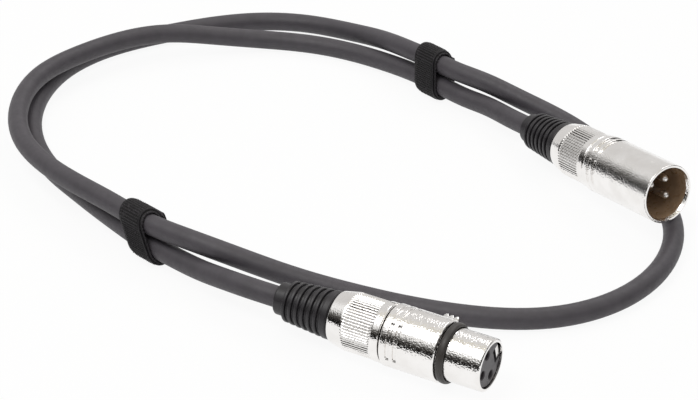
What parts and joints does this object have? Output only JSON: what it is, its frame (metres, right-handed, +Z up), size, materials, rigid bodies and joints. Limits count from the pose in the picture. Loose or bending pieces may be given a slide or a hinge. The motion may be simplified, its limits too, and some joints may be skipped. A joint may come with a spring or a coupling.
{
  "type": "xlr cable coil",
  "caption": "Coiled balanced microphone cable with metal-shelled male and female XLR connectors, held by two black hook-and-loop ties.",
  "frame": {"origin": "middle of the coil's bounding box on the surface it lies on", "axes": "+Z up from the surface, +X and +Y level, the plug to the +X side and the socket to the -Y side"},
  "size_m": [0.219, 0.2357, 0.0256],
  "materials": {
    "nickel": "satin",
    "steel": "satin",
    "silver_contact": "polished",
    "black_plastic": "satin",
    "boot_rubber": "satin",
    "jacket": "matte",
    "copper": "satin",
    "red_insulation": "satin",
    "white_insulation": "satin",
    "tie_fabric": "matte"
  },
  "bodies": {
    "cable": {"cable_jacket": "jacket", "cable_shield": "copper", "cold_conductor": "white_insulation", "female_chuck": "black_plastic", "female_insert": "black_plastic", "female_screen_tail": "copper", "female_shell": "nickel", "female_socket_1": "silver_contact", "female_socket_2": "silver_contact", "female_socket_3": "silver_contact", "front_tie": "tie_fabric", "hot_conductor": "red_insulation", "latch_pin": "steel", "latch_spring": "steel", "male_chuck": "black_plastic", "male_insert": "black_plastic", "male_pin_1": "silver_contact", "male_pin_2": "silver_contact", "male_pin_3": "silver_contact", "male_screen_tail": "copper", "male_shell": "nickel", "rear_tie": "tie_fabric", "seal_ring": "boot_rubber"},
    "male_boot": {"male_boot": "boot_rubber"},
    "male_bushing": {"male_bushing": "nickel"},
    "female_boot": {"female_boot": "boot_rubber"},
    "female_bushing": {"female_bushing": "nickel"},
    "latch": {"latch": "steel"}
  },
  "joints": [
    {"name": "male_boot_slide", "type": "slide", "parent": "cable", "child": "male_boot", "axis": [-0.5628, 0.8188, -0.1132], "range_m": [0, 0.003]},
    {"name": "male_bushing_turn", "type": "hinge", "parent": "male_boot", "child": "male_bushing", "pos_m": [0.0849, -0.00487, 0.01288], "axis": [-0.5628, 0.8188, -0.1132], "range_deg": [0, 720]},
    {"name": "female_boot_slide", "type": "slide", "parent": "cable", "child": "female_boot", "axis": [-0.866, 0.5, 0], "range_m": [0, 0.003]},
    {"name": "female_bushing_turn", "type": "hinge", "parent": "female_boot", "child": "female_bushing", "pos_m": [0.01639, -0.09575, 0.0094], "axis": [-0.866, 0.5, 0], "range_deg": [0, 720]},
    {"name": "latch_press", "type": "hinge", "parent": "cable", "child": "latch", "pos_m": [0.02408, -0.09444, 0.01092], "axis": [0.1462, 0.2532, -0.9563], "range_deg": [0, 2.6], "stiffness_Nm_per_rad": 0.06, "springref_deg": -8.59, "deforming": ["latch_spring"]}
  ],
  "couplings": [
    {"joint": "male_bushing_turn", "follows": "male_boot_slide", "rad_per_m": 4188.7},
    {"joint": "female_bushing_turn", "follows": "female_boot_slide", "rad_per_m": 4188.7}
  ]
}
